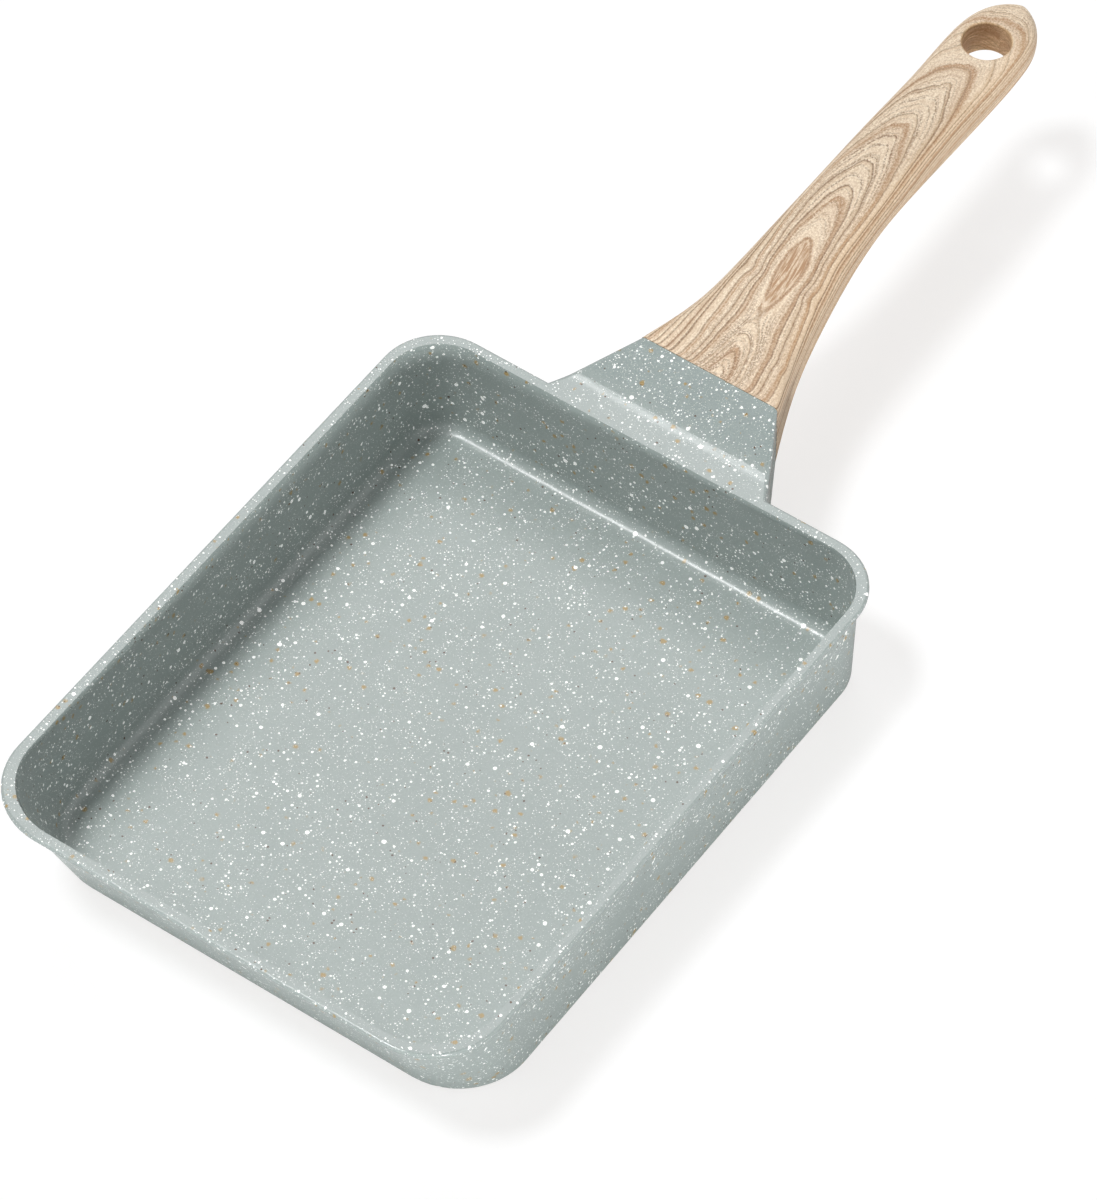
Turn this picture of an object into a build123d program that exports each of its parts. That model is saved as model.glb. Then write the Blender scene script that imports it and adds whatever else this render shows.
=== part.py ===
from build123d import *
import os
from math import cos, exp, hypot, radians, sin, tan

# Tamagoyaki pan: a cast tray with a lip and a neck, an induction plate in its base, and a
# moulded handle that slides over a tongue on the neck and is held by one screw from below.
# Millimetres. +X runs from the tray to the end of the handle and +Z is up. The origin is the
# middle of the flat base, at the height that the pan stands on.

# Tray, seen from above
RIM_LENGTH = 196.2
RIM_WIDTH = 150.5
RIM_BACK_RADIUS = 17.5
RIM_FRONT_RADIUS = 21.0
MOUTH_BACK_RADIUS = 15.5
MOUTH_FRONT_RADIUS = 19.5
BASE_BACK_RADIUS = 14.0
BASE_FRONT_RADIUS = 21.0
FLOOR_BACK_RADIUS = 12.0
FLOOR_FRONT_RADIUS = 18.0

# Tray, in section
PAN_HEIGHT = 38.7
BASE_THICKNESS = 5.7
RIM_BAND = 3.0
LIP_HEIGHT = 2.0
LIP_OVERHANG = 1.9
BACK_OVERHANG = 1.9
SIDE_DRAFT = 3.2
BACK_DRAFT = 1.5
FRONT_SLOPE = 22.5
WALL = 2.1
LIP_TOP_RADIUS = 0.7
LIP_UNDER_RADIUS = 0.9
LIP_ROOT_RADIUS = 0.8
FLOOR_RADIUS = 4.2
BASE_EDGE_RADIUS = 3.0

# Induction plate, pressed flush into the base
PLATE_THICKNESS = 0.6
PLATE_MARGIN = 9.0
PLATE_HOLE_DIAMETER = 6.0
PLATE_HOLE_PITCH = 15.0
PLATE_GAP = 0.1
PEG_CLEARANCE = 0.1

# Neck between the tray and the handle
NECK_LENGTH = 24.2
NECK_ROOT_WIDTH = 70.0
NECK_FLAT = 4.5
NECK_VALLEY_RADIUS = 24.0
NECK_ROOT_DEPTH = 25.5
JOINT_WIDTH = 43.4
JOINT_HEIGHT = 22.5
JOINT_RISE = 4.2
JOINT_CORNER_RADIUS = 1.2
NECK_ROOT_RADIUS = 4.0

# Tongue on the neck, inside the handle
TONGUE_LENGTH = 28.0
TONGUE_THICKNESS = 8.0
TONGUE_ROOT_WIDTH = 25.0
TONGUE_TIP_WIDTH = 19.0
TONGUE_DROP = 3.2
TONGUE_SLOPE = 11.3
TONGUE_CORNER_RADIUS = 2.0

# Handle
HANDLE_LENGTH = 150.6
GRIP_WIDTH = 22.8
HANDLE_RISE = 11.7
GRIP_THICKNESS = 11.6
GRIP_ROUNDING_SHARE = 0.88
ROUNDING_REACH_SHARE = 0.18
SEAM = 0.15
SOCKET_CLEARANCE = 0.3
HANGING_HOLE_DIAMETER = 13.4
HANGING_HOLE_INSET = 18.4
HANGING_HOLE_EDGE_RADIUS = 0.8

# Screw, its two washers and the holes that they go in
SCREW_DIAMETER = 5.0
SCREW_HEAD_DIAMETER = 9.0
SCREW_HEAD_HEIGHT = 2.8
SCREW_HEAD_EDGE_RADIUS = 1.2
SCREW_GRIP = 7.0
SCREW_OFFSET = 14.4
SCREW_TIP_CHAMFER = 0.6
RECESS_WIDTH = 4.6
RECESS_SLOT = 1.1
RECESS_DEPTH = 1.7
RECESS_TAPER = 8.0
THREAD_CLEARANCE = 0.1
HOLE_CLEARANCE = 0.25
POCKET_CLEARANCE = 0.6
SEAT_WALL = 2.2
FLAT_WASHER_THICKNESS = 0.8
FLAT_WASHER_DIAMETER = 9.6
LOCK_WASHER_THICKNESS = 1.0
LOCK_WASHER_DIAMETER = 8.6
LOCK_WASHER_SPLIT = 0.9

# How far a cutting shape runs past the face that it cuts, and how near counts as touching
OVERRUN = 2.0
TOUCHING = 0.05

# Handle sections from the joint to the middle of the hanging hole. Each row holds shares:
# place along the handle, flare from grip width to joint width, height on the rise, and
# thickness from grip to joint.
STATION_SHARES = [
    (0.000, 1.00, 0.00, 1.00),
    (0.125, 0.51, 0.30, 0.69),
    (0.250, 0.26, 0.60, 0.40),
    (0.375, 0.10, 0.86, 0.16),
    (0.500, 0.01, 0.99, 0.02),
    (0.625, 0.00, 1.00, 0.00),
    (0.750, 0.00, 0.96, 0.03),
    (0.875, 0.00, 0.92, 0.05),
    (1.000, 0.00, 0.94, 0.02),
]
# Sections of the nose, in degrees of turn round its ellipse, and how much thinner it ends
NOSE_TURNS = (25, 45, 62, 76, 85)
NOSE_THINNING_SHARE = 0.5
NOSE_ROUNDING_SHARE = 0.9

# Places worked out from the sizes above
LIP_ROOT = PAN_HEIGHT - LIP_HEIGHT
FRONT_RUN = LIP_OVERHANG + LIP_ROOT * tan(radians(FRONT_SLOPE))
BACK_RUN = BACK_OVERHANG + LIP_ROOT * tan(radians(BACK_DRAFT))
RIM_MIDDLE = (BACK_RUN - FRONT_RUN) / 2
RIM_FRONT = RIM_MIDDLE - RIM_LENGTH / 2
RIM_BACK = RIM_MIDDLE + RIM_LENGTH / 2
JOINT_X = RIM_BACK + NECK_LENGTH
JOINT_TOP = PAN_HEIGHT + JOINT_RISE
JOINT_BOTTOM = JOINT_TOP - JOINT_HEIGHT
HANDLE_START = JOINT_X + SEAM
HOLE_X = JOINT_X + HANDLE_LENGTH - HANGING_HOLE_INSET


def wall_inset(height, overhang, slope):
    """How far the outside of a wall stands in from the rim at one height"""
    return overhang + (LIP_ROOT - height) * tan(radians(slope))


def tray_outline(height, front, back, side, front_radius, back_radius):
    """Horizontal outline of the tray, given by its insets from the outside of the rim"""
    x_front = RIM_FRONT + front
    x_back = RIM_BACK - back
    half_width = RIM_WIDTH / 2 - side
    corners = [
        (x_front, -half_width),
        (x_back, -half_width),
        (x_back, half_width),
        (x_front, half_width),
    ]
    outline = make_face(Polyline(*corners, close=True))
    outline = fillet(outline.vertices().group_by(Axis.X)[-1], back_radius)
    outline = fillet(outline.vertices().group_by(Axis.X)[0], front_radius)
    return Pos(0, 0, height) * outline


def outer_outline(height):
    """Outside of the wall at one height"""
    share = (LIP_ROOT - height) / LIP_ROOT
    return tray_outline(
        height,
        wall_inset(height, LIP_OVERHANG, FRONT_SLOPE),
        wall_inset(height, BACK_OVERHANG, BACK_DRAFT),
        wall_inset(height, LIP_OVERHANG, SIDE_DRAFT),
        RIM_FRONT_RADIUS + (BASE_FRONT_RADIUS - RIM_FRONT_RADIUS) * share,
        RIM_BACK_RADIUS + (BASE_BACK_RADIUS - RIM_BACK_RADIUS) * share,
    )


def rim_inner_outline(height):
    """Inside edge of the rim"""
    return tray_outline(
        height, RIM_BAND, RIM_BAND, RIM_BAND, MOUTH_FRONT_RADIUS, MOUTH_BACK_RADIUS
    )


def floor_outline():
    """Foot of the inside walls, one wall thickness in from the outside"""
    slanted_wall = WALL / cos(radians(FRONT_SLOPE))
    return tray_outline(
        BASE_THICKNESS,
        wall_inset(BASE_THICKNESS, LIP_OVERHANG, FRONT_SLOPE) + slanted_wall,
        wall_inset(BASE_THICKNESS, BACK_OVERHANG, BACK_DRAFT) + WALL,
        wall_inset(BASE_THICKNESS, LIP_OVERHANG, SIDE_DRAFT) + WALL,
        FLOOR_FRONT_RADIUS,
        FLOOR_BACK_RADIUS,
    )


def edges_along(shape, lines):
    """Edges of a shape whose middles lie on the given lines"""
    return [
        edge for edge in shape.edges()
        if min(line.distance_to(Vertex(edge @ 0.5)) for line in lines) < TOUCHING
    ]


def make_lip():
    """Rounded lip round the top of the wall"""
    lip = extrude(
        tray_outline(LIP_ROOT, 0, 0, 0, RIM_FRONT_RADIUS, RIM_BACK_RADIUS), LIP_HEIGHT
    )
    lip = fillet(lip.faces().sort_by(Axis.Z)[-1].edges(), LIP_TOP_RADIUS)
    return fillet(lip.faces().sort_by(Axis.Z)[0].edges(), LIP_UNDER_RADIUS)


def make_bowl():
    """Drafted wall with its rounded base edge, and the lip on it"""
    bowl = loft([outer_outline(0), outer_outline(LIP_ROOT)], ruled=True)
    bowl = fillet(bowl.faces().sort_by(Axis.Z)[0].edges(), BASE_EDGE_RADIUS)
    wall_top = outer_outline(LIP_ROOT).edges()
    bowl += make_lip()
    return fillet(edges_along(bowl, wall_top), LIP_ROOT_RADIUS)


def make_cavity():
    """Space inside the tray, rounded where the walls meet the floor"""
    cavity = loft([floor_outline(), rim_inner_outline(PAN_HEIGHT)], ruled=True)
    cavity = fillet(cavity.faces().sort_by(Axis.Z)[0].edges(), FLOOR_RADIUS)
    return cavity + extrude(rim_inner_outline(PAN_HEIGHT), OVERRUN)


def neck_plan():
    """Trapezium of the neck seen from above, run on into the wall"""
    spread = (NECK_ROOT_WIDTH - JOINT_WIDTH) / 2 / NECK_LENGTH
    inner_x = RIM_BACK - BACK_OVERHANG - WALL
    inner_half = JOINT_WIDTH / 2 + spread * (JOINT_X - inner_x)
    joint_half = JOINT_WIDTH / 2
    return make_face(
        Polyline(
            (inner_x, -inner_half),
            (JOINT_X, -joint_half),
            (JOINT_X, joint_half),
            (inner_x, inner_half),
            close=True,
        )
    )


def neck_side():
    """Side view of the neck: a flat behind the rim, a valley, a ramp to the joint, and a
    rounded foot where the underside runs into the wall"""
    inner_x = RIM_BACK - BACK_OVERHANG - WALL
    bend_x = RIM_BACK + NECK_FLAT
    root_z = PAN_HEIGHT - NECK_ROOT_DEPTH
    foot_z = root_z - 2 * NECK_ROOT_RADIUS
    foot_x = RIM_BACK - wall_inset(foot_z, BACK_OVERHANG, BACK_DRAFT)
    top = FilletPolyline(
        (inner_x, PAN_HEIGHT), (bend_x, PAN_HEIGHT), (JOINT_X, JOINT_TOP), radius=NECK_VALLEY_RADIUS
    )
    underside = FilletPolyline(
        (JOINT_X, JOINT_BOTTOM), (foot_x, root_z), (foot_x, foot_z), radius=NECK_ROOT_RADIUS
    )
    end = Line((JOINT_X, JOINT_TOP), (JOINT_X, JOINT_BOTTOM))
    inside = Polyline((foot_x, foot_z), (inner_x, foot_z), (inner_x, PAN_HEIGHT))
    return Plane.XZ * make_face(top + end + underside + inside)


def make_neck():
    """Solid neck with the same rounded corners as the end of the handle"""
    neck = extrude(neck_plan(), JOINT_TOP + OVERRUN)
    neck &= extrude(neck_side(), NECK_ROOT_WIDTH, both=True)
    faces = neck.faces().sort_by(Axis.Y)
    long_edges = faces[0].edges().filter_by(Axis.Z, reverse=True)
    long_edges += faces[-1].edges().filter_by(Axis.Z, reverse=True)
    return fillet(long_edges, JOINT_CORNER_RADIUS)


def make_tongue(clearance):
    """Tongue that carries the handle, or, with a clearance, the socket that it fills"""
    top = JOINT_TOP - TONGUE_DROP + clearance
    bottom = JOINT_TOP - TONGUE_DROP - TONGUE_THICKNESS - clearance
    start = JOINT_X - OVERRUN
    end = JOINT_X + TONGUE_LENGTH + clearance
    climb = tan(radians(TONGUE_SLOPE))
    rise = (end - JOINT_X) * climb
    dip = OVERRUN * climb
    side = Plane.XZ * make_face(
        Polyline(
            (start, bottom - dip),
            (end, bottom + rise),
            (end, top + rise),
            (start, top - dip),
            close=True,
        )
    )
    root_half = TONGUE_ROOT_WIDTH / 2 + clearance
    tip_half = TONGUE_TIP_WIDTH / 2 + clearance
    plan = make_face(
        Polyline(
            (start, -root_half),
            (JOINT_X, -root_half),
            (end, -tip_half),
            (end, tip_half),
            (JOINT_X, root_half),
            (start, root_half),
            close=True,
        )
    )
    plan = fillet(plan.vertices().group_by(Axis.X)[-1], TONGUE_CORNER_RADIUS)
    tongue = extrude(side, TONGUE_ROOT_WIDTH, both=True)
    return tongue & extrude(plan, JOINT_TOP + PAN_HEIGHT)


def screw_plane():
    """Plane of the tongue's underside at the screw, its Z axis along the screw, upwards"""
    x = JOINT_X + SCREW_OFFSET
    climb = tan(radians(TONGUE_SLOPE))
    z = JOINT_TOP - TONGUE_DROP - TONGUE_THICKNESS + SCREW_OFFSET * climb
    tilt = radians(TONGUE_SLOPE)
    return Plane(origin=(x, 0, z), x_dir=(0, 1, 0), z_dir=(-sin(tilt), 0, cos(tilt)))


def screw_cylinder(diameter, bottom, top):
    """Cylinder about the screw's axis, between two heights from the tongue's underside"""
    disc = Plane(origin=(0, 0, bottom)) * Circle(diameter / 2)
    return screw_plane() * extrude(disc, top - bottom)


def seat_height():
    """Height of the handle's seat for the washers, below the tongue's underside"""
    return -SOCKET_CLEARANCE - SEAT_WALL


def base_flat():
    """Front, back and half width of the flat part of the base"""
    front_turn = radians(90 - FRONT_SLOPE) / 2
    side_turn = radians(90 - SIDE_DRAFT) / 2
    back_turn = radians(90 - BACK_DRAFT) / 2
    front = RIM_FRONT + FRONT_RUN + BASE_EDGE_RADIUS * tan(front_turn)
    back = RIM_BACK - BACK_RUN - BASE_EDGE_RADIUS * tan(back_turn)
    side = wall_inset(0, LIP_OVERHANG, SIDE_DRAFT)
    half_width = RIM_WIDTH / 2 - side - BASE_EDGE_RADIUS * tan(side_turn)
    return front, back, half_width


def plate_size():
    """Length and width of the induction plate"""
    front, back, half_width = base_flat()
    return back - front - 2 * PLATE_MARGIN, 2 * (half_width - PLATE_MARGIN)


def plate_outline(gap):
    """Induction plate seen from below, or, with a gap, the pocket that it lies in"""
    length, width = plate_size()
    return RectangleRounded(length + 2 * gap, width + 2 * gap, BASE_BACK_RADIUS + gap)


def plate_holes(diameter):
    """Even grid of round holes over the whole plate, about one pitch apart"""
    length, width = plate_size()
    columns = round(length / PLATE_HOLE_PITCH)
    rows = round(width / PLATE_HOLE_PITCH)
    grid = GridLocations(length / columns, width / rows, columns, rows)
    return Sketch() + [place * Circle(diameter / 2) for place in grid]


def plate_centre():
    """Place of the plate's middle"""
    front, back, half_width = base_flat()
    return Pos((front + back) / 2, 0, 0)


def make_pan_body():
    """Tray, lip, neck and tongue cast in one, with the pegs that fill the plate's holes"""
    body = make_bowl() + make_neck()
    body += make_tongue(0)
    body -= make_cavity()
    pegs = plate_holes(PLATE_HOLE_DIAMETER - 2 * PEG_CLEARANCE)
    body -= plate_centre() * extrude(plate_outline(PLATE_GAP) - pegs, PLATE_THICKNESS)
    thread = SCREW_DIAMETER + 2 * THREAD_CLEARANCE
    body -= screw_cylinder(thread, -OVERRUN, TONGUE_THICKNESS + OVERRUN)
    return body


def make_induction_plate():
    """Magnetic sheet with rows of round holes"""
    return plate_centre() * extrude(
        plate_outline(0) - plate_holes(PLATE_HOLE_DIAMETER), PLATE_THICKNESS
    )


def handle_section(x, half_width, top, thickness, radius):
    """Upright rounded section of the handle"""
    section = RectangleRounded(2 * half_width, thickness, radius)
    return Plane(origin=(x, 0, top - thickness / 2), x_dir=(0, 1, 0), z_dir=(1, 0, 0)) * section


def station_size(shares):
    """Place, half width, top, thickness and corner radius of one handle section"""
    along, flare, rise, swell = shares
    x = HANDLE_START + along * (HOLE_X - HANDLE_START)
    half_width = (GRIP_WIDTH + flare * (JOINT_WIDTH - GRIP_WIDTH)) / 2
    top = JOINT_TOP + rise * HANDLE_RISE
    thickness = GRIP_THICKNESS + swell * (JOINT_HEIGHT - GRIP_THICKNESS)
    rounding = GRIP_ROUNDING_SHARE * (1 - exp(-along / ROUNDING_REACH_SHARE))
    radius = max(JOINT_CORNER_RADIUS, rounding * thickness / 2)
    return x, half_width, top, thickness, radius


def nose_size(turn):
    """One section of the nose, which closes as an ellipse past the hanging hole"""
    x, half_width, top, thickness, radius = station_size(STATION_SHARES[-1])
    reach = HANGING_HOLE_INSET * sin(radians(turn))
    closed = cos(radians(turn))
    thin = 1 - NOSE_THINNING_SHARE * (1 - closed)
    tip_radius = min(radius * thin, half_width * closed * NOSE_ROUNDING_SHARE)
    lowered = top - thickness * (1 - thin) / 2
    return x + reach, half_width * closed, lowered, thickness * thin, tip_radius


def hole_rims(handle):
    """Edges of the hanging hole on the top and the underside of the handle"""
    reach = HANGING_HOLE_DIAMETER / 2 + TOUCHING
    near = [
        edge for edge in handle.edges()
        if hypot((edge @ 0.5).X - HOLE_X, (edge @ 0.5).Y) < reach
    ]
    return [edge for edge in near if abs(edge.tangent_at(0.5).Z) < abs(edge.tangent_at(0.5).Y)
            or abs(edge.tangent_at(0.5).Z) < abs(edge.tangent_at(0.5).X)]


def make_handle():
    """Moulded handle: flared cuff, rising grip, round nose, hanging hole and screw pocket"""
    sizes = [station_size(shares) for shares in STATION_SHARES]
    sizes += [nose_size(turn) for turn in NOSE_TURNS]
    handle = loft([handle_section(*size) for size in sizes])
    hole = Pos(HOLE_X, 0, 0) * extrude(
        Circle(HANGING_HOLE_DIAMETER / 2), JOINT_TOP + HANDLE_RISE + OVERRUN
    )
    handle -= hole
    handle = fillet(hole_rims(handle), HANGING_HOLE_EDGE_RADIUS)
    handle -= make_tongue(SOCKET_CLEARANCE)
    pocket = FLAT_WASHER_DIAMETER + 2 * POCKET_CLEARANCE
    clear = SCREW_DIAMETER + 2 * HOLE_CLEARANCE
    handle -= screw_cylinder(pocket, seat_height() - JOINT_HEIGHT, seat_height())
    handle -= screw_cylinder(clear, seat_height() - OVERRUN, OVERRUN)
    return handle


def washer_ring(outer, bottom, top):
    """Flat ring about the screw"""
    bore = SCREW_DIAMETER + 2 * HOLE_CLEARANCE
    return screw_cylinder(outer, bottom, top) - screw_cylinder(bore, bottom, top)


def make_flat_washer():
    """Flat washer on the handle's seat"""
    return washer_ring(
        FLAT_WASHER_DIAMETER, seat_height() - FLAT_WASHER_THICKNESS, seat_height()
    )


def make_lock_washer():
    """Split spring washer under the screw head"""
    top = seat_height() - FLAT_WASHER_THICKNESS
    bottom = top - LOCK_WASHER_THICKNESS
    ring = washer_ring(LOCK_WASHER_DIAMETER, bottom, top)
    slot = Rectangle(LOCK_WASHER_DIAMETER, LOCK_WASHER_SPLIT, align=(Align.MIN, Align.CENTER))
    return ring - screw_plane() * extrude(Pos(0, 0, bottom) * slot, LOCK_WASHER_THICKNESS)


def make_screw():
    """Pan-head screw with a cross recess"""
    under_head = seat_height() - FLAT_WASHER_THICKNESS - LOCK_WASHER_THICKNESS
    face = under_head - SCREW_HEAD_HEIGHT
    disc = Plane(origin=(0, 0, face)) * Circle(SCREW_HEAD_DIAMETER / 2)
    head = extrude(disc, SCREW_HEAD_HEIGHT)
    head = fillet(head.faces().sort_by(Axis.Z)[0].edges(), SCREW_HEAD_EDGE_RADIUS)
    arm = Rectangle(RECESS_WIDTH, RECESS_SLOT)
    cross = Pos(0, 0, face) * (arm + Rot(0, 0, 90) * arm)
    head -= extrude(cross, RECESS_DEPTH, taper=RECESS_TAPER)
    shank_disc = Plane(origin=(0, 0, under_head)) * Circle(SCREW_DIAMETER / 2)
    shank = extrude(shank_disc, SCREW_GRIP - under_head)
    shank = chamfer(shank.faces().sort_by(Axis.Z)[-1].edges(), SCREW_TIP_CHAMFER)
    return screw_plane() * (head + shank)


PARTS = {
    "pan_body": make_pan_body,
    "induction_plate": make_induction_plate,
    "handle": make_handle,
    "handle_screw": make_screw,
    "lock_washer": make_lock_washer,
    "flat_washer": make_flat_washer,
}

os.makedirs("parts", exist_ok=True)
for name, make in PARTS.items():
    export_step(make(), f"parts/{name}.step")
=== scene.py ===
from math import pi, radians
import bpy
from mathutils import Matrix, Vector


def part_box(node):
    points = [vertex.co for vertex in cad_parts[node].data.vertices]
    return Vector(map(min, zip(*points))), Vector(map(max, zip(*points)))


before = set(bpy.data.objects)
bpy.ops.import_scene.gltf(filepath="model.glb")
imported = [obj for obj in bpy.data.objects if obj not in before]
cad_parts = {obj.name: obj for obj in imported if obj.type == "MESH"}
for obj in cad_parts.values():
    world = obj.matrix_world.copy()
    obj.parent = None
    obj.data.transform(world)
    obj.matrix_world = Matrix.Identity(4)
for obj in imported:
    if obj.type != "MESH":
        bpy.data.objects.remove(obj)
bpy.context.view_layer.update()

MM = 1000.0                # millimetres in a metre; materials work in millimetres

# Camera, in metres, as fitted to the outlines of the pan
CAMERA_PLACE = (-0.94230, -0.69732, 1.55753)
CAMERA_RIGHT = Vector((0.57802854, -0.81601655, 0.0))
CAMERA_VIEW = Vector((0.50412767, 0.35710083, -0.78634235))
CAMERA_SENSOR = 36.0       # millimetres
CAMERA_FOCAL_SHARE = 7507 / 1200   # focal length over the height of the image
CAMERA_CLIP = (0.1, 30.0)  # metres

# Lamps as direction, share of full light and angle across in degrees: the key gives the shadows
# on the sheet, the front lamp and the fill lift the shade, the floor of the pan mirrors the
# softbox, the neck's valley mirrors the strip, and the low card lights the outer walls
LAMPS = {
    "key": ((-0.249, 0.284, 0.926), 0.54, 11.0),
    "front": ((-0.56, 0.10, 0.82), 0.10, 12.0),
    "softbox": ((0.460, 0.357, 0.813), 0.150, 28.0),
    "strip": ((0.300, 0.357, 0.885), 0.031, 8.0),
    "low_card": ((-0.66, -0.75, 0.015), 0.68, 3.0),
    "fill": ((0.25, -0.74, 0.62), 0.11, 60.0),
}
WORLD_SHARE = 0.145
OVERHEAD = (0.72, 0.90)    # upward part of a direction where the surround turns dark for gloss

# White sheet: its own white, and as the camera sees it, how much shade it takes and its warm lift
SHEET_SIZE = 12.0          # metres
SHEET_DROP = 0.0002        # metres below the pan
SHEET_WHITE = (0.86, 0.86, 0.86, 1)
SHEET_SHADE = (0.280, 0.292, 0.302, 1)
SHEET_LIFT = (0.762, 0.748, 0.738, 1)

# Coating
COATING_DEEP = (0.306, 0.370, 0.353, 1)
COATING_PALE = (0.362, 0.427, 0.408, 1)
GRAIN_SHARES = (0.20, 0.16)         # towards black and white
COATING_ROUGHNESS = (0.29, 0.34)
COATING_SHINE = 1.0
COATING_IOR = 1.40
LIP_ROOT = 36.7            # millimetres up, where the glossier lip and neck start
LIP_BLEND = 0.4
NECK_GLOSS = 0.14
# Painted shade: the coat is darkened where the neck climbs to the handle
CLIMB_START = 19.0         # millimetres before the handle, where the neck climbs
CLIMB_BLEND = 6.0
CLIMB_PAINTED_SHADE = (0.85, 0.885, 0.885, 1)
BLACK = (0, 0, 0, 1)
WHITE = (1, 1, 1, 1)

# Specks as cell, least and greatest radius and soft edge, in millimetres
SPECK_SIZES = {
    "tan": (3.2, 0.35, 1.00, 0.45),
    "dark": (1.25, 0.20, 0.42, 0.10),
    "dust": (0.42, 0.05, 0.13, 0.05),
    "fine": (0.74, 0.11, 0.24, 0.06),
    "middle": (1.35, 0.18, 0.42, 0.08),
    "large": (3.0, 0.30, 0.72, 0.12),
}
# Share of the cells that hold a speck; dust, fine and middle ones crowd in places
SPECK_SHARES = {"tan": 0.62, "dark": 0.06, "dust": 0.80, "fine": 0.55, "middle": 0.50,
                "large": 0.36}
SPECK_COVERS = {"tan": 0.80, "dark": 0.92, "dust": 0.70, "fine": 0.85}
SPECK_SKEW = 1.5           # above 1, small radii are commoner
DARK_IN_TAN = 1.4          # dark specks gather in the tan ones
CROWDING = (0.45, 1.55)
SPECK_WHITE = (0.93, 0.94, 0.92, 1)
SPECK_TAN = (0.42, 0.26, 0.045, 1)
SPECK_DARK = (0.08, 0.03, 0.005, 1)
# Painted light: the white specks glow a little of their own, so they stay bright in the shade
SPECK_PAINTED_GLOW = (1.0, 1.0, 0.97, 1)
SPECK_PAINTED_GLOW_STRENGTH = 0.29

# Pegs in the induction plate's holes, in millimetres
PEG_DEPTH = 0.62
PEG_MARGIN = 4.4           # inside the plate's edge
BARE_METAL = (0.70, 0.70, 0.69, 1)
BARE_ROUGHNESS = 0.38

# Steel
PLATE_COLOURS = ((0.44, 0.44, 0.43, 1), (0.62, 0.62, 0.61, 1))
PLATE_STAIN = (0.5, 0.47, 0.42, 1)
PLATE_STAIN_SHARE = 0.2
PLATE_ROUGHNESS = (0.28, 0.42)
SCREW_COLOURS = ((0.50, 0.50, 0.49, 1), (0.66, 0.66, 0.65, 1))
SCREW_ROUGHNESS = (0.22, 0.36)

# Wood effect
WOOD_PALE = (0.97, 0.84, 0.665, 1)
WOOD_SHADE = (0.71, 0.55, 0.39, 1)
WOOD_WARM = (0.56, 0.375, 0.215, 1)
WOOD_BAND = (0.44, 0.245, 0.12, 1)
WOOD_EYE = (0.42, 0.23, 0.11, 1)
WOOD_LINE = (0.22, 0.115, 0.052, 1)
WOOD_DRILLED = (0.97, 0.84, 0.60, 1)
WOOD_ROUGHNESS = (0.45, 0.60)
HANGING_HOLE_INSET = 18.4  # millimetres from the nose
DRILLED_RADII = (6.9, 7.3)  # millimetres, where the hole's wall ends

# Growth lines. Each curve is its least value, its greatest and (share of the length, value) points
HANDLE_TOP = (40.0, 54.7, (
    (0.0, 42.9), (0.11, 47.0), (0.22, 50.4), (0.33, 53.2), (0.44, 54.5), (0.55, 54.6),
    (0.66, 54.3), (0.77, 53.8), (0.88, 53.9), (1.0, 53.2)))
RIGHT_WIDTH = (0.8, 2.0, (
    (0.0, 1.90), (0.06, 1.62), (0.12, 1.36), (0.18, 1.20), (0.25, 1.08), (0.35, 1.01),
    (0.5, 1.0), (1.0, 1.0)))
LEFT_WIDTH = (0.8, 2.0, (
    (0.0, 1.26), (0.06, 1.20), (0.12, 1.12), (0.18, 1.07), (0.25, 1.03), (0.35, 1.0),
    (0.5, 1.0), (1.0, 1.0)))
GRAIN_MIDDLE = (-5.0, 5.0, (
    (0.0, -0.7), (0.07, -2.3), (0.12, -2.1), (0.18, -1.3), (0.24, -0.8), (0.32, 0.3),
    (0.41, 0.6), (0.56, 1.1), (0.74, 0.7), (0.86, -0.3), (1.0, -0.9)))
# Rings along the middle, counted from the eye; each whole number is an arch towards the nose
RINGS = (-1.2, 4.6, (
    (0.0, -0.35), (0.035, -0.18), (0.07, 0.0), (0.10, 0.26), (0.13, 0.44), (0.178, 0.36),
    (0.243, 0.0), (0.302, 0.36), (0.355, 0.72), (0.41, 1.0), (0.52, 1.5), (0.631, 2.0),
    (0.72, 2.5), (0.811, 3.0), (0.88, 3.5), (0.951, 4.0), (1.0, 4.5)))
# How fast the rings rise off the middle, and how far off they ease into straight lines
RING_STEEPNESS = (0.0, 0.12, (
    (0.0, 0.100), (0.05, 0.070), (0.09, 0.040), (0.13, 0.022), (0.18, 0.024), (0.243, 0.048),
    (0.30, 0.030), (0.34, 0.022), (0.40, 0.0150), (0.52, 0.0125), (0.60, 0.0120),
    (0.72, 0.0080), (0.81, 0.0056), (1.0, 0.0050)))
RING_EASE = (0.0, 60.0, (
    (0.0, 4.0), (0.05, 5.5), (0.09, 9.0), (0.13, 25.0), (0.18, 25.0), (0.243, 8.5),
    (0.30, 16.0), (0.34, 25.0), (0.5, 45.0), (1.0, 60.0)))
# Rings well off the middle, where they lie evenly spaced, at SIDE_START millimetres
SIDE_RINGS = (1.0, 6.0, (
    (0.0, 2.3), (0.05, 2.2), (0.09, 2.05), (0.13, 2.0), (0.18, 2.05), (0.243, 2.15),
    (0.40, 2.15), (0.60, 2.85), (0.72, 3.2), (0.81, 3.47), (1.0, 4.9)))
SIDE_START = 10.0
SIDE_BLEND = (8.0, 13.0)
SIDE_SLOPE = 0.26          # rings to the millimetre across
RING_SLOPE = 0.03          # least slope along the handle
RING_SWAY = (0.15, 0.42)
FIBRE_JITTER = 0.025       # rings
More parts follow.
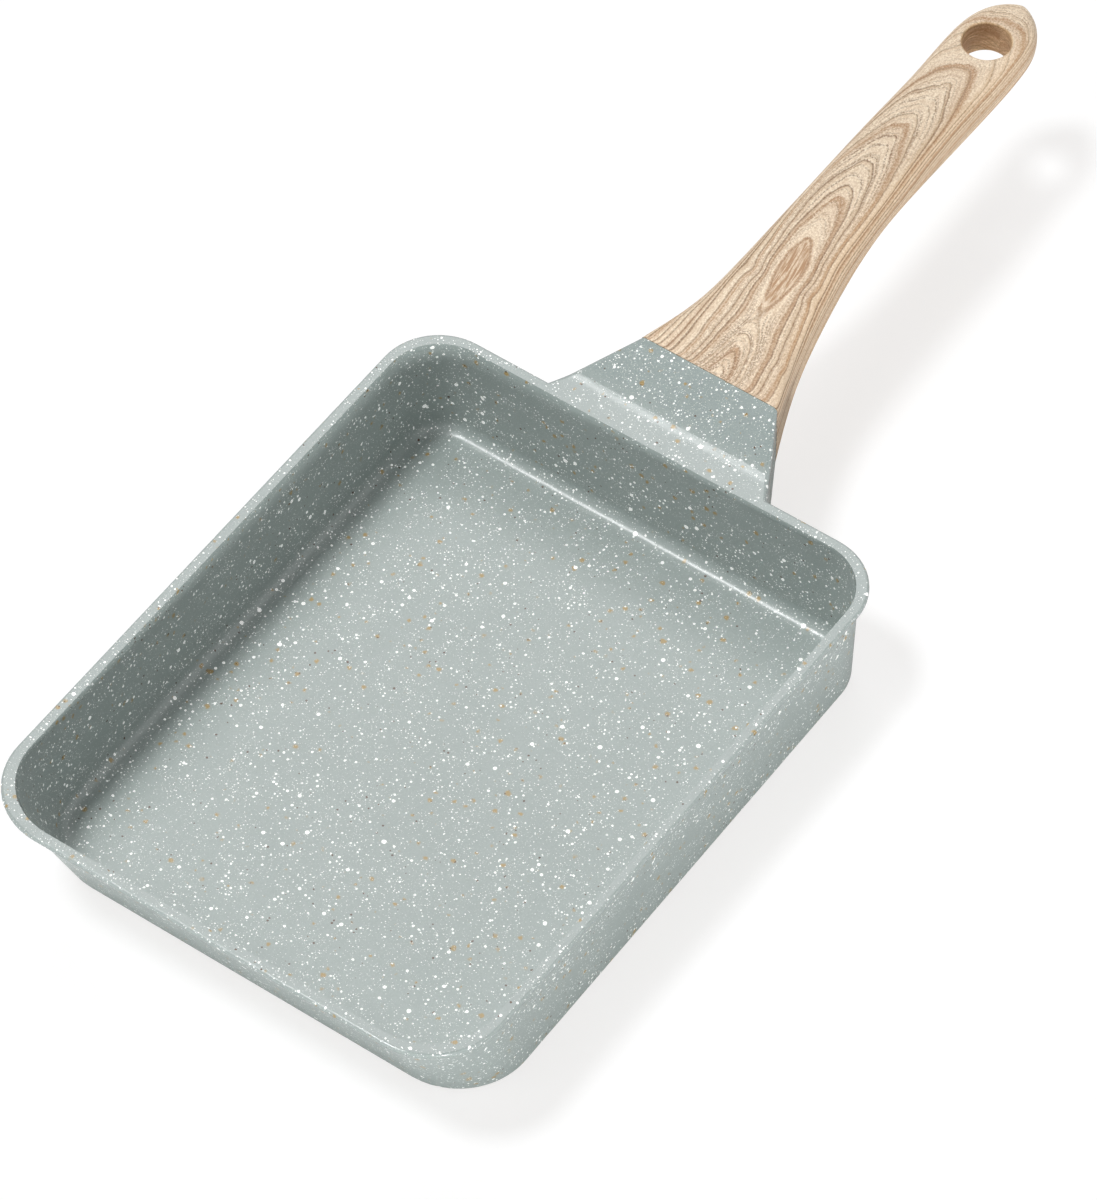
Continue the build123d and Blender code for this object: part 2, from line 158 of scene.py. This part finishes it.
# Lines as how many there are to the ring, width in millimetres, weakest and strongest
STRONG_LINES = (2.6, 0.42, 0.40, 1.0)
WEAK_LINES = (12.0, 0.40, 0.20, 0.85)
LINE_SHADE_WIDTH = 1.1     # millimetres
BAND_STOPS = ((0.0, 0.5), (0.02, 0.0), (0.77, 0.0), (0.82, 0.45), (0.85, 0.1), (0.92, 0.5),
              (0.965, 1.0), (1.0, 0.9))
FIBRE_STOPS = ((0.30, 0.5), (0.55, 0.0))
BEHIND_CUFF = (0.13, 0.16)  # share of the length where the eye's rings start
EYE_RING = 0.44


def new_material(name):
    """An empty node material and its tree"""
    material = bpy.data.materials.new(name)
    material.use_nodes = True
    material.node_tree.nodes.clear()
    return material, material.node_tree


def node(tree, kind, *inputs, **settings):
    """Adds a node. Each input is a value or a socket, in the node's own order"""
    made = tree.nodes.new("ShaderNode" + kind)
    for key, value in settings.items():
        setattr(made, key, value)
    for index, value in enumerate(inputs):
        connect(tree, made, index, value)
    return made


def connect(tree, made, key, value):
    """Sets or links one input of a node, or leaves it where the value is None"""
    if value is None:
        return
    if isinstance(value, bpy.types.NodeSocket):
        tree.links.new(value, made.inputs[key])
    else:
        made.inputs[key].default_value = value


def maths(tree, operation, *inputs, clamp=False):
    """Output of a math node"""
    return node(tree, "Math", *inputs, operation=operation, use_clamp=clamp).outputs[0]


def product(tree, first, *others):
    """Product of several values"""
    for other in others:
        first = maths(tree, "MULTIPLY", first, other)
    return first


def mapped(tree, value, start, end, low, high, smooth=False):
    """Value between start and end brought to between low and high"""
    kind = "SMOOTHSTEP" if smooth else "LINEAR"
    return node(tree, "MapRange", value, start, end, low, high, interpolation_type=kind).outputs[0]


def blend_colour(tree, share, low, high, kind="MIX"):
    """Output of a colour mix"""
    mixed = tree.nodes.new("ShaderNodeMix")
    mixed.data_type = "RGBA"
    mixed.blend_type = kind
    connect(tree, mixed, 0, share)
    connect(tree, mixed, 6, low)
    connect(tree, mixed, 7, high)
    return mixed.outputs[2]


def noise(tree, place, scale, detail=2.0, roughness=0.5, output="Fac"):
    """Output of a 3-D noise texture"""
    made = node(tree, "TexNoise")
    for key, value in (("Vector", place), ("Scale", scale), ("Detail", detail),
                       ("Roughness", roughness)):
        connect(tree, made, key, value)
    return made.outputs[output]


def grey_ramp(tree, share, stops):
    """Output of a ramp of greys with (place, grey) stops"""
    made = node(tree, "ValToRGB", share)
    elements = made.color_ramp.elements
    (elements[0].position, first), (elements[1].position, last) = stops[0], stops[-1]
    elements[0].color, elements[1].color = (first, first, first, 1), (last, last, last, 1)
    for place, grey in stops[1:-1]:
        elements.new(place).color = (grey, grey, grey, 1)
    return made.outputs["Color"]


def along_curve(tree, along, table):
    """Output of one of the smooth curves over the handle's length"""
    low, high, points = table
    scaled = [(share, (value - low) / (high - low)) for share, value in points]
    made = node(tree, "FloatCurve")
    connect(tree, made, "Value", along)
    line = made.mapping.curves[0]
    line.points[0].location = scaled[0]
    line.points[1].location = scaled[-1]
    for point in scaled[1:-1]:
        line.points.new(*point)
    made.mapping.update()
    return mapped(tree, made.outputs[0], 0.0, 1.0, low, high)


def millimetres(tree):
    """Object coordinates in millimetres"""
    return scaled_vector(tree, node(tree, "TexCoord").outputs["Object"], MM)


def scaled_vector(tree, vector, scale):
    """A vector times a number"""
    made = node(tree, "VectorMath", vector, operation="SCALE")
    made.inputs["Scale"].default_value = scale
    return made.outputs["Vector"]


def moved(tree, place, offset):
    """Coordinates shifted by an offset"""
    return node(tree, "VectorMath", place, offset, operation="ADD").outputs["Vector"]


def wobbled(tree, place, scale, amount):
    """Coordinates pushed about by noise"""
    shift = noise(tree, place, scale, detail=1.0, output="Color")
    centred = node(tree, "VectorMath", shift, (0.5, 0.5, 0.5), operation="SUBTRACT").outputs[0]
    return moved(tree, place, scaled_vector(tree, centred, amount))


def combined(tree, *parts):
    """Vector of three numbers"""
    return node(tree, "CombineXYZ", *parts).outputs[0]


def surface(tree, **values):
    """Principled shader joined to the output, with its inputs given by name"""
    shader = node(tree, "BsdfPrincipled")
    for key, value in values.items():
        connect(tree, shader, key.replace("_", " "), value)
    output = node(tree, "OutputMaterial")
    tree.links.new(shader.outputs["BSDF"], output.inputs["Surface"])


def bump(tree, height, strength, distance, before=None):
    """Normal bent by a height, with the distance in metres"""
    made = node(tree, "Bump")
    for key, value in (("Strength", strength), ("Distance", distance), ("Height", height),
                       ("Normal", before)):
        connect(tree, made, key, value)
    return made.outputs["Normal"]


def specks(tree, place, name, share):
    """Mask of round spots, one in some of the cells of a Voronoi pattern"""
    cell, small, large, soft = SPECK_SIZES[name]
    cells = node(tree, "TexVoronoi", voronoi_dimensions="3D", feature="F1")
    connect(tree, cells, "Vector", place)
    connect(tree, cells, "Scale", 1.0 / cell)
    parts = node(tree, "SeparateColor", cells.outputs["Color"])
    radius = mapped(tree, maths(tree, "POWER", parts.outputs[0], SPECK_SKEW), 0.0, 1.0,
                    small / cell, large / cell)
    inside = maths(tree, "SUBTRACT", radius, cells.outputs["Distance"])
    spot = maths(tree, "DIVIDE", inside, soft / cell, clamp=True)
    return product(tree, spot, maths(tree, "LESS_THAN", parts.outputs[1], share))


def coating_base(tree, place, x):
    """Sage colour, drifting and grained, with painted shade darkening it where the neck climbs to
    the handle
    """
    base = blend_colour(tree, noise(tree, place, 0.05, detail=3.0), COATING_DEEP, COATING_PALE)
    climb_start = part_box("handle")[0][0] * MM - CLIMB_START
    # Painted shade on the neck's climb
    climb_painted_shade = mapped(tree, x, climb_start, climb_start + CLIMB_BLEND, 0.0, 1.0, smooth=True)
    base = blend_colour(tree, climb_painted_shade, base, CLIMB_PAINTED_SHADE, "MULTIPLY")
    grain = noise(tree, place, 2.2, detail=3.0, roughness=0.7)
    return blend_colour(tree, grain, blend_colour(tree, GRAIN_SHARES[0], base, BLACK),
                        blend_colour(tree, GRAIN_SHARES[1], base, WHITE))


def coloured_specks(tree, place, ragged, base):
    """Colour with the tan specks and the dark ones, most of them in the tan"""
    tan_place = wobbled(tree, moved(tree, place, (5.0, 3.0, 9.0)), 0.9, 1.1)
    tan = specks(tree, tan_place, "tan", SPECK_SHARES["tan"])
    base = blend_colour(tree, product(tree, tan, SPECK_COVERS["tan"]), base, SPECK_TAN)
    share = maths(tree, "ADD", SPECK_SHARES["dark"], product(tree, tan, DARK_IN_TAN))
    dark = specks(tree, moved(tree, ragged, (2.0, 8.0, 4.0)), "dark", share)
    return blend_colour(tree, product(tree, dark, SPECK_COVERS["dark"]), base, SPECK_DARK)


def white_specks(tree, place, ragged):
    """Mask of the white specks of all sizes"""
    cluster = noise(tree, moved(tree, place, (31.0, 7.0, 3.0)), 0.13)
    crowd = mapped(tree, cluster, 0.3, 0.7, *CROWDING)
    shares = {name: product(tree, crowd, SPECK_SHARES[name]) for name in ("dust", "fine", "middle")}
    dust = specks(tree, place, "dust", shares["dust"])
    fine = specks(tree, moved(tree, place, (1.3, 2.7, 0.4)), "fine", shares["fine"])
    middle = specks(tree, moved(tree, ragged, (3.3, 1.7, 6.1)), "middle", shares["middle"])
    large = specks(tree, moved(tree, ragged, (9.1, 4.7, 2.9)), "large", SPECK_SHARES["large"])
    small = maths(tree, "MAXIMUM", product(tree, dust, SPECK_COVERS["dust"]),
                  product(tree, fine, SPECK_COVERS["fine"]))
    return maths(tree, "MAXIMUM", small, maths(tree, "MAXIMUM", middle, large))


def bare_pegs(tree, axes):
    """Mask of the pressed metal pegs in the induction plate's holes, ground bare"""
    low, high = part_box("induction_plate")
    bare = maths(tree, "LESS_THAN", axes[2], PEG_DEPTH)
    for axis in (0, 1):
        middle = (low[axis] + high[axis]) / 2 * MM
        reach = (high[axis] - low[axis]) / 2 * MM - PEG_MARGIN
        off_middle = maths(tree, "ABSOLUTE", maths(tree, "SUBTRACT", axes[axis], middle))
        bare = product(tree, bare, maths(tree, "LESS_THAN", off_middle, reach))
    return bare


def coating_material():
    """Sage non-stick coating with white, tan and dark specks, the white ones given a painted glow,
    glossier on the lip and neck
    """
    material, tree = new_material("speckled_coating")
    place = millimetres(tree)
    axes = node(tree, "SeparateXYZ", place).outputs
    ragged = wobbled(tree, place, 1.6, 0.30)
    base = coloured_specks(tree, place, ragged, coating_base(tree, place, axes[0]))
    white = white_specks(tree, place, ragged)
    colour = blend_colour(tree, white, base, SPECK_WHITE)
    # Painted light: glow of the white specks
    painted_glow = product(tree, white, SPECK_PAINTED_GLOW_STRENGTH)

    neck = mapped(tree, axes[2], LIP_ROOT - LIP_BLEND, LIP_ROOT + LIP_BLEND, 0.0, 1.0)
    rough = mapped(tree, noise(tree, place, 0.35), 0.3, 0.7, *COATING_ROUGHNESS)
    rough = maths(tree, "SUBTRACT", rough, product(tree, neck, NECK_GLOSS))
    normal = bump(tree, noise(tree, place, 1.1), 0.10, 0.0003)
    normal = bump(tree, white, 0.25, 0.0001, normal)

    bare = bare_pegs(tree, axes)
    coated = maths(tree, "SUBTRACT", 1.0, bare)
    colour = blend_colour(tree, bare, colour, BARE_METAL)
    rough = maths(tree, "ADD", product(tree, rough, coated), product(tree, bare, BARE_ROUGHNESS))
    surface(tree, Base_Color=colour, Roughness=rough, Normal=normal, Metallic=bare,
            Specular_IOR_Level=COATING_SHINE, IOR=COATING_IOR,
            Emission_Color=SPECK_PAINTED_GLOW, Emission_Strength=product(tree, painted_glow, coated))
    return material


def plate_material():
    """Satin stainless steel with fine drawn lines and faint stains"""
    material, tree = new_material("satin_steel")
    place = millimetres(tree)
    stretched = node(tree, "Mapping", place)
    stretched.inputs["Scale"].default_value = (0.03, 6.0, 6.0)
    lines = noise(tree, stretched.outputs[0], 1.0, detail=4.0, roughness=0.7)
    stain = product(tree, noise(tree, place, 0.08, detail=3.0), PLATE_STAIN_SHARE)
    colour = blend_colour(tree, stain, blend_colour(tree, lines, *PLATE_COLOURS), PLATE_STAIN)
    rough = mapped(tree, lines, 0.3, 0.7, *PLATE_ROUGHNESS)
    surface(tree, Base_Color=colour, Roughness=rough, Metallic=1.0,
            Normal=bump(tree, lines, 0.15, 0.00004))
    return material


def screw_material():
    """Plain steel of the screw and washers"""
    material, tree = new_material("screw_steel")
    mottle = noise(tree, millimetres(tree), 1.8, detail=4.0, roughness=0.6)
    rough = mapped(tree, mottle, 0.3, 0.7, *SCREW_ROUGHNESS)
    surface(tree, Base_Color=blend_colour(tree, mottle, *SCREW_COLOURS), Roughness=rough,
            Metallic=1.0, Normal=bump(tree, mottle, 0.10, 0.00005))
    return material


def drawn_out(tree, along, y, z):
    """Places off the middle line, measured round the sides, in a handle drawn out to one width:
    millimetres across, which side, and the width"""
    drop = maths(tree, "SUBTRACT", along_curve(tree, along, HANDLE_TOP), z)
    drop = maths(tree, "MAXIMUM", drop, 0.0)
    round_sides = maths(tree, "ADD", y, product(tree, maths(tree, "SIGN", y), drop))
    off_middle = maths(tree, "SUBTRACT", round_sides, along_curve(tree, along, GRAIN_MIDDLE))
    left = maths(tree, "GREATER_THAN", off_middle, 0.0)
    width = mapped(tree, left, 0.0, 1.0, along_curve(tree, along, RIGHT_WIDTH),
                   along_curve(tree, along, LEFT_WIDTH))
    return maths(tree, "DIVIDE", off_middle, width), left, width


def growth_height(tree, along, across, away, width, x):
    """Made-up height whose level lines are the growth lines, and its slope to the millimetre"""
    rise = product(tree, along_curve(tree, along, RING_STEEPNESS), away)
    reach = maths(tree, "DIVIDE", away, along_curve(tree, along, RING_EASE))
    reach = maths(tree, "ADD", 1.0, reach)
    near = maths(tree, "DIVIDE", product(tree, rise, away), reach)
    near = maths(tree, "ADD", along_curve(tree, along, RINGS), near)
    near_slope = maths(tree, "DIVIDE", product(tree, rise, maths(tree, "ADD", reach, 1.0)),
                       product(tree, reach, reach))
    far = product(tree, maths(tree, "SUBTRACT", away, SIDE_START), SIDE_SLOPE)
    far = maths(tree, "ADD", along_curve(tree, along, SIDE_RINGS), far)
    far_share = mapped(tree, away, *SIDE_BLEND, 0.0, 1.0, smooth=True)
    levels = mapped(tree, far_share, 0.0, 1.0, near, far)
    slope = mapped(tree, far_share, 0.0, 1.0, near_slope, SIDE_SLOPE)
    slope = maths(tree, "ADD", maths(tree, "DIVIDE", slope, width), RING_SLOPE)
    sway_place = combined(tree, product(tree, x, 0.030), product(tree, across, 0.12), 3.0)
    sway = maths(tree, "SUBTRACT", noise(tree, sway_place, 1.0), 0.5)
    loose = mapped(tree, along, 0.05, 0.30, *RING_SWAY)
    return maths(tree, "ADD", levels, product(tree, sway, loose)), slope


def level_lines(tree, height, slope, lines):
    """Dark lines of one width along some levels of a height, and the soft shade inside each"""
    count, width, weak, strong = lines
    scaled = product(tree, height, count)
    cells = node(tree, "TexVoronoi", voronoi_dimensions="1D", feature="F1")
    connect(tree, cells, "W", scaled)
    connect(tree, cells, "Scale", 1.0)
    draw = node(tree, "SeparateColor", cells.outputs["Color"]).outputs[0]
    strength = mapped(tree, draw, 0.0, 1.0, weak, strong)
    offset = maths(tree, "DIVIDE", maths(tree, "SUBTRACT", cells.outputs["W"], scaled), count)
    offset = maths(tree, "DIVIDE", offset, slope)
    half_widths = maths(tree, "DIVIDE", maths(tree, "ABSOLUTE", offset), width / 2)
    line = maths(tree, "SUBTRACT", 1.5, half_widths, clamp=True)
    shade = mapped(tree, offset, 0.0, LINE_SHADE_WIDTH, 1.0, 0.0)
    shade = product(tree, shade, maths(tree, "GREATER_THAN", offset, 0.0))
    return product(tree, line, strength), product(tree, shade, strength)


def warm_bands(tree, height, shaken, slope, left, behind):
    """Mask of the broad band under each arch, the arches themselves and the eye's rim"""
    phase = maths(tree, "FRACT", maths(tree, "ADD", shaken, 0.03))
    band = grey_ramp(tree, phase, BAND_STOPS)
    from_arch = maths(tree, "FRACT", maths(tree, "ADD", shaken, 0.53))
    from_arch = maths(tree, "ABSOLUTE", maths(tree, "SUBTRACT", from_arch, 0.5))
    arch = mapped(tree, maths(tree, "DIVIDE", from_arch, slope), 0.2, 0.8, 0.85, 0.0)
    arch = product(tree, arch, mapped(tree, left, 0.0, 1.0, 1.0, 0.45))
    band = maths(tree, "MAXIMUM", band, arch)
    rim = maths(tree, "ABSOLUTE", maths(tree, "SUBTRACT", height, EYE_RING))
    rim = mapped(tree, maths(tree, "DIVIDE", rim, slope), 0.25, 0.7, 0.9, 0.0)
    return maths(tree, "MAXIMUM", band, product(tree, rim, behind))


def drilled_wood(tree, colour, x, y, z):
    """Colour with the warmer, layered wall of the hanging hole"""
    hole_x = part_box("handle")[1][0] * MM - HANGING_HOLE_INSET
    from_hole = maths(tree, "POWER", maths(tree, "SUBTRACT", x, hole_x), 2.0)
    from_hole = maths(tree, "SQRT", maths(tree, "ADD", product(tree, y, y), from_hole))
    drilled = mapped(tree, from_hole, *DRILLED_RADII, 0.75, 0.0)
    colour = blend_colour(tree, drilled, colour, WOOD_DRILLED, "MULTIPLY")
    layer_place = combined(tree, product(tree, x, 0.10), product(tree, y, 0.10),
                           product(tree, z, 1.1))
    layers = mapped(tree, noise(tree, layer_place, 1.0), 0.44, 0.60, 0.0, 0.75)
    return blend_colour(tree, product(tree, layers, drilled), colour, WOOD_BAND)


def handle_material():
    """Printed ash grain: growth lines, fibres and pores, with painted shade down the right side"""
    material, tree = new_material("wood_effect")
    place = millimetres(tree)
    x, y, z = node(tree, "SeparateXYZ", place).outputs
    low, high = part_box("handle")
    along = mapped(tree, x, low[0] * MM, high[0] * MM, 0.0, 1.0)
    across, left, width = drawn_out(tree, along, y, z)
    away = maths(tree, "ABSOLUTE", across)
    height, slope = growth_height(tree, along, across, away, width, x)

    # Fibres run along the level lines, grains and pores lie over them
    fibre_place = combined(tree, product(tree, x, 0.30), product(tree, across, 1.3),
                           product(tree, height, 7.0))
    fibre = noise(tree, fibre_place, 1.0, detail=3.0, roughness=0.75)
    grains = mapped(tree, noise(tree, place, 1.9, roughness=0.8), 0.38, 0.62, 0.0, 1.0)
    jitter = product(tree, maths(tree, "SUBTRACT", fibre, 0.5), FIBRE_JITTER)
    shaken = maths(tree, "ADD", height, jitter)
    broken = mapped(tree, grains, 0.0, 1.0, 1.0, 0.55)
    dotted = mapped(tree, grains, 0.3, 0.9, 1.0, 0.15)

    # Strong lines on some levels, and weak ones inside the arches; the eye has neither
    behind = mapped(tree, along, *BEHIND_CUFF, 0.0, 1.0)
    band = warm_bands(tree, height, shaken, slope, left, behind)
    strong, shade = level_lines(tree, shaken, slope, STRONG_LINES)
    weak = level_lines(tree, maths(tree, "ADD", shaken, 7.3), slope, WEAK_LINES)[0]
    weak = product(tree, weak, mapped(tree, away, 4.0, 11.0, 1.0, 0.0))
    flat = product(tree, mapped(tree, height, 0.60, 0.75, 1.0, 0.0), behind)
    weak = product(tree, weak, maths(tree, "SUBTRACT", 1.0, flat))
    eye = product(tree, mapped(tree, height, 0.37, 0.41, 1.0, 0.0), behind)
    outside = maths(tree, "SUBTRACT", 1.0, eye)
    dark = maths(tree, "MAXIMUM", product(tree, strong, broken), product(tree, weak, dotted))
    dark = product(tree, dark, outside, mapped(tree, along, 0.60, 0.82, 1.0, 0.66))

    colour = blend_colour(tree, grains, WOOD_SHADE, WOOD_PALE)
    colour = blend_colour(tree, grey_ramp(tree, fibre, FIBRE_STOPS), colour, WOOD_WARM)
    # Painted shade: the handle's right side turns warmer and darker towards its edge
    right = mapped(tree, across, -12.0, -3.0, 0.30, 0.0)
    colour = blend_colour(tree, right, colour, WOOD_WARM)
    colour = blend_colour(tree, product(tree, shade, outside, 0.65), colour, WOOD_WARM)
    colour = blend_colour(tree, product(tree, band, broken, outside), colour, WOOD_BAND)
    colour = blend_colour(tree, dark, colour, WOOD_LINE)
    streak_place = combined(tree, product(tree, x, 0.14), product(tree, across, 1.9), 5.0)
    streak = mapped(tree, noise(tree, streak_place, 1.0, detail=1.0), 0.42, 0.56, 0.25, 0.95)
    colour = blend_colour(tree, product(tree, streak, eye), colour, WOOD_EYE)
    colour = drilled_wood(tree, colour, x, y, z)
    rough = mapped(tree, fibre, 0.3, 0.7, *WOOD_ROUGHNESS)
    relief = maths(tree, "SUBTRACT", fibre, product(tree, dark, 0.5))
    surface(tree, Base_Color=colour, Roughness=rough, Normal=bump(tree, relief, 0.25, 0.00012))
    return material


def dress(name, material):
    """Gives a CAD node its material"""
    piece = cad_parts[name]
    piece.data.materials.clear()
    piece.data.materials.append(material)


def white_floor():
    """White sheet under the pan that keeps the shadow, paler where the camera sees it"""
    bpy.ops.mesh.primitive_plane_add(size=SHEET_SIZE, location=(0, 0, -SHEET_DROP))
    floor = bpy.context.object
    floor.name = "floor"
    material, tree = new_material("white_sheet")
    plain = node(tree, "BsdfDiffuse", SHEET_WHITE)
    faint = node(tree, "BsdfDiffuse", SHEET_SHADE)
    lift = node(tree, "Emission", SHEET_LIFT, 1.0)
    both = node(tree, "AddShader", faint.outputs[0], lift.outputs[0])
    seen = node(tree, "LightPath").outputs["Is Camera Ray"]
    mixed = node(tree, "MixShader", seen, plain.outputs[0], both.outputs[0])
    output = node(tree, "OutputMaterial")
    tree.links.new(mixed.outputs[0], output.inputs["Surface"])
    floor.data.materials.append(material)


def pale_world():
    """Even dim surround, white to the camera, and white to gloss apart from a dark overhead"""
    world = bpy.data.worlds.new("surround")
    world.use_nodes = True
    tree = world.node_tree
    tree.nodes.clear()
    dim = node(tree, "Background", WHITE, WORLD_SHARE)
    bright = node(tree, "Background", WHITE, 1.0)
    path = node(tree, "LightPath")
    upward = node(tree, "SeparateXYZ", node(tree, "TexCoord").outputs["Generated"]).outputs[2]
    walls = mapped(tree, upward, *OVERHEAD, 1.0, 0.0)
    gloss = product(tree, path.outputs["Is Glossy Ray"], walls)
    seen = maths(tree, "MAXIMUM", path.outputs["Is Camera Ray"], gloss)
    mixed = node(tree, "MixShader", seen, dim.outputs[0], bright.outputs[0])
    output = node(tree, "OutputWorld")
    tree.links.new(mixed.outputs[0], output.inputs["Surface"])
    bpy.context.scene.world = world


def lamps():
    """Soft lamps, far off, as set out at the top"""
    for name, (direction, share, angle) in LAMPS.items():
        light = bpy.data.lights.new(name, "SUN")
        light.energy = share * pi
        light.angle = radians(angle)
        lamp = bpy.data.objects.new(name, light)
        bpy.context.collection.objects.link(lamp)
        lamp.rotation_euler = Vector(direction).to_track_quat("Z", "Y").to_euler()


def camera():
    """Camera at the photograph's place, with its long lens"""
    lens = bpy.data.cameras.new("camera")
    lens.sensor_fit = "VERTICAL"
    lens.sensor_height = CAMERA_SENSOR
    lens.lens = CAMERA_SENSOR * CAMERA_FOCAL_SHARE
    lens.clip_start, lens.clip_end = CAMERA_CLIP
    eye = bpy.data.objects.new("camera", lens)
    bpy.context.collection.objects.link(eye)
    right = CAMERA_RIGHT.normalized()
    back = -CAMERA_VIEW.normalized()
    up = back.cross(right)
    turn = Matrix((right, up, back)).transposed()
    eye.matrix_world = Matrix.Translation(CAMERA_PLACE) @ turn.to_4x4()
    bpy.context.scene.camera = eye


camera()
lamps()
pale_world()
white_floor()
dress("pan_body", coating_material())
dress("induction_plate", plate_material())
dress("handle", handle_material())
screw = screw_material()
for fastener in ("handle_screw", "lock_washer", "flat_washer"):
    dress(fastener, screw)

bpy.context.scene.view_settings.view_transform = "Standard"
bpy.context.view_layer.update()
